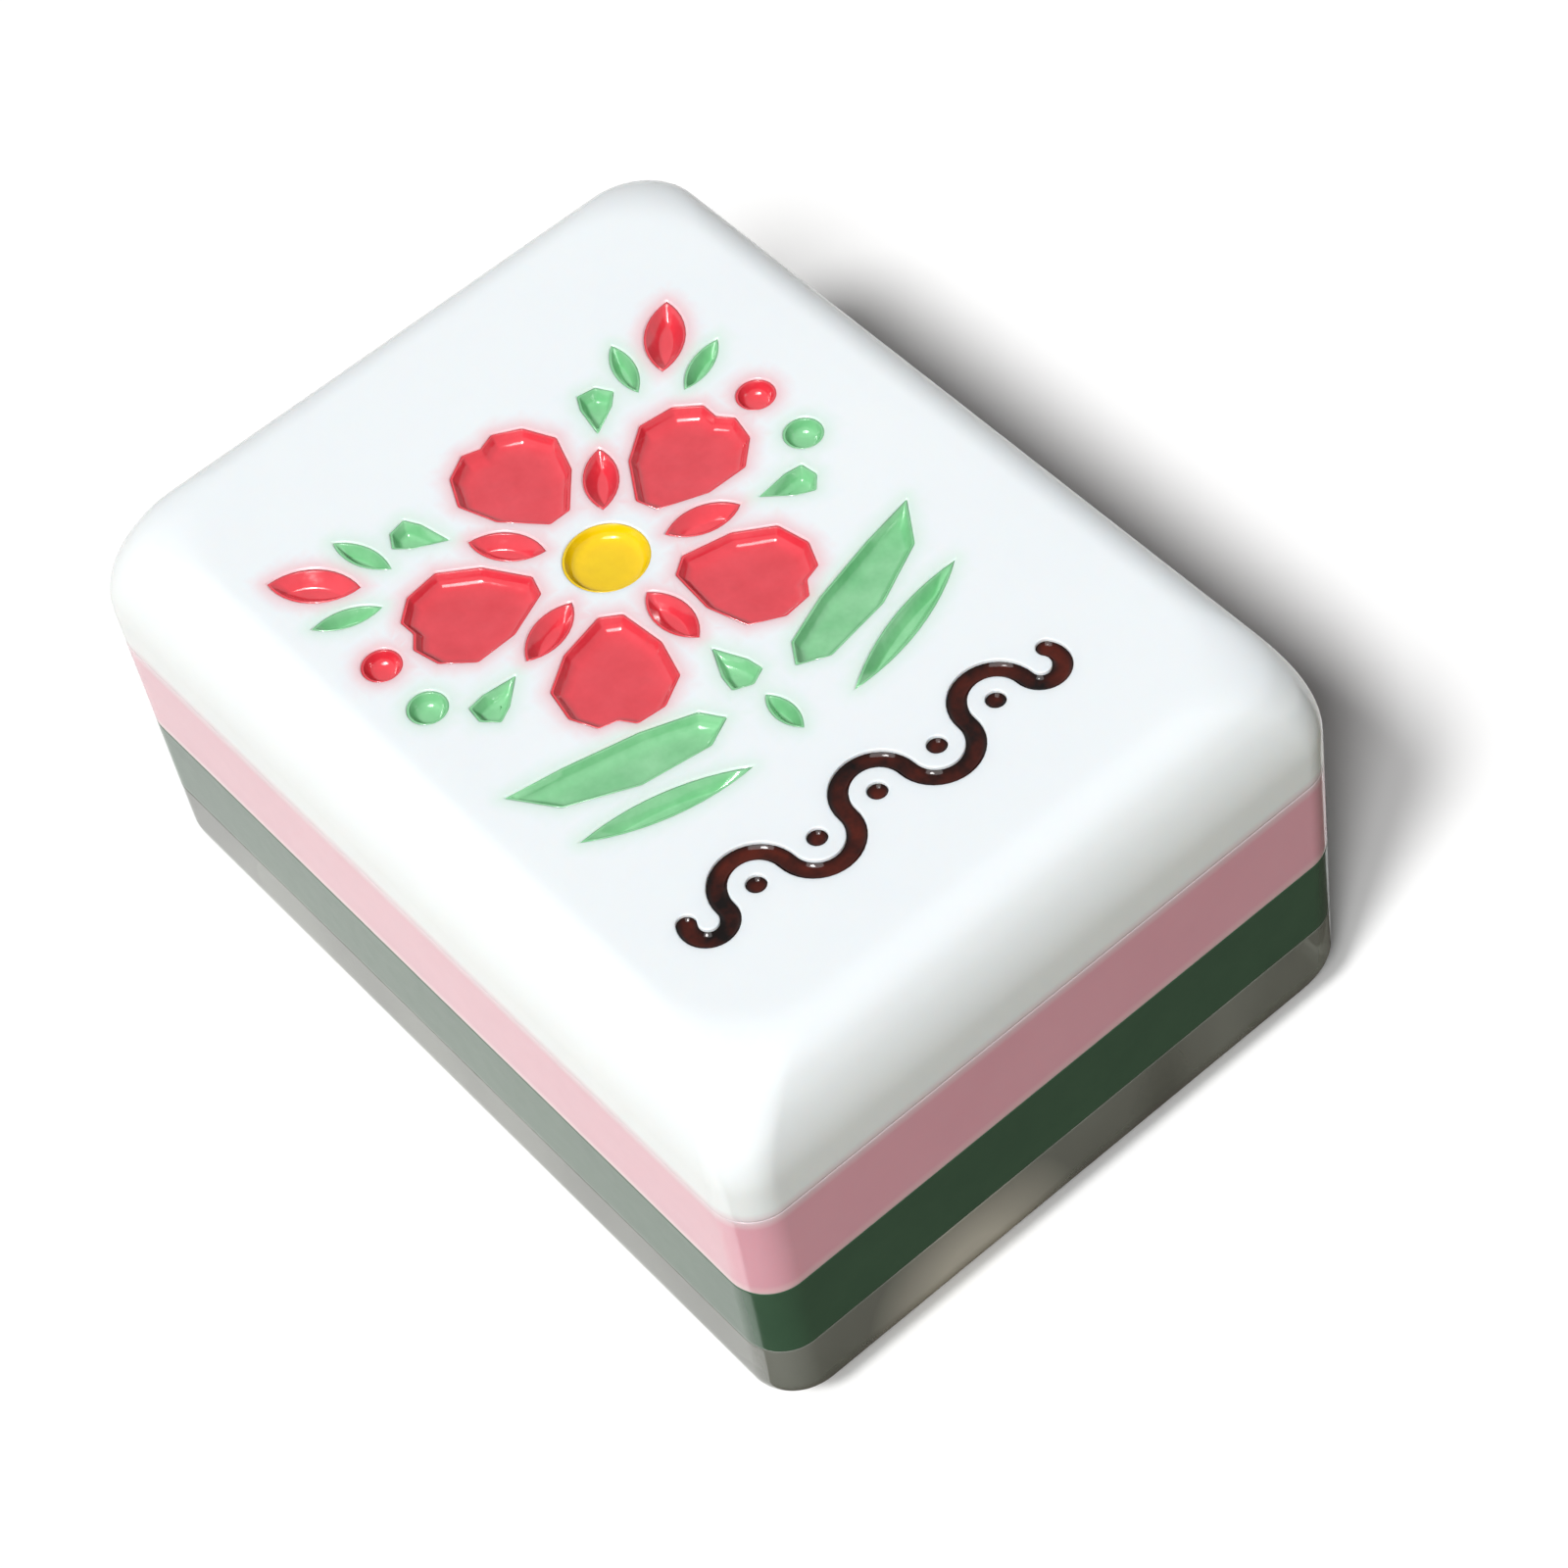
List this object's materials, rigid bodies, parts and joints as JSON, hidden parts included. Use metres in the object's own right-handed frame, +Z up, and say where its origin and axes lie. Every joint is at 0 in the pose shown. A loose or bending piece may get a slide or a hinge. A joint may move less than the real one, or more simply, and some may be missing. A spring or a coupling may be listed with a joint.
{
  "type": "mahjong tile",
  "caption": "Mahjong tile of bonded acrylic layers, white over pink, green and clear, with soft rounded edges and a painted flower engraved in its face.",
  "frame": {"origin": "middle of the flat underside", "axes": "+Z up through the engraved face, +Y along the tile's length towards the top of the artwork, +X across its width to the artwork's right"},
  "size_m": [0.0222, 0.03, 0.016],
  "materials": {
    "white_acrylic": "polished milky white",
    "pink_acrylic": "polished milky pink",
    "green_acrylic": "polished deep green",
    "clear_acrylic": "polished clear",
    "red_paint": "gloss lacquer in the engraving",
    "green_paint": "gloss lacquer in the engraving",
    "yellow_paint": "gloss lacquer in the engraving",
    "brown_paint": "gloss lacquer in the engraving"
  },
  "bodies": {
    "root": {"clear_base": "clear_acrylic", "green_layer": "green_acrylic", "pink_layer": "pink_acrylic", "face_layer": "white_acrylic", "centre_paint": "yellow_paint", "inner_petal_paint_1": "red_paint", "inner_petal_paint_2": "red_paint", "inner_petal_paint_3": "red_paint", "inner_petal_paint_4": "red_paint", "inner_petal_paint_5": "red_paint", "left_berry_green_paint": "green_paint", "left_berry_red_paint": "red_paint", "left_bud_paint": "red_paint", "left_leaf_broad_paint": "green_paint", "left_leaf_slim_paint": "green_paint", "left_sprig_high_paint": "green_paint", "left_sprig_low_paint": "green_paint", "petal_paint_1": "red_paint", "petal_paint_2": "red_paint", "petal_paint_3": "red_paint", "petal_paint_4": "red_paint", "petal_paint_5": "red_paint", "right_berry_green_paint": "green_paint", "right_berry_red_paint": "red_paint", "right_bud_paint": "red_paint", "right_leaf_broad_paint": "green_paint", "right_leaf_slim_paint": "green_paint", "right_sprig_high_paint": "green_paint", "right_sprig_low_paint": "green_paint", "sepal_paint_1": "green_paint", "sepal_paint_2": "green_paint", "sepal_paint_3": "green_paint", "sepal_paint_4": "green_paint", "sepal_paint_5": "green_paint", "stem_paint": "green_paint", "wave_dot_paint_1": "brown_paint", "wave_dot_paint_2": "brown_paint", "wave_dot_paint_3": "brown_paint", "wave_dot_paint_4": "brown_paint", "wave_dot_paint_5": "brown_paint", "wave_paint": "brown_paint"}
  },
  "joints": []
}
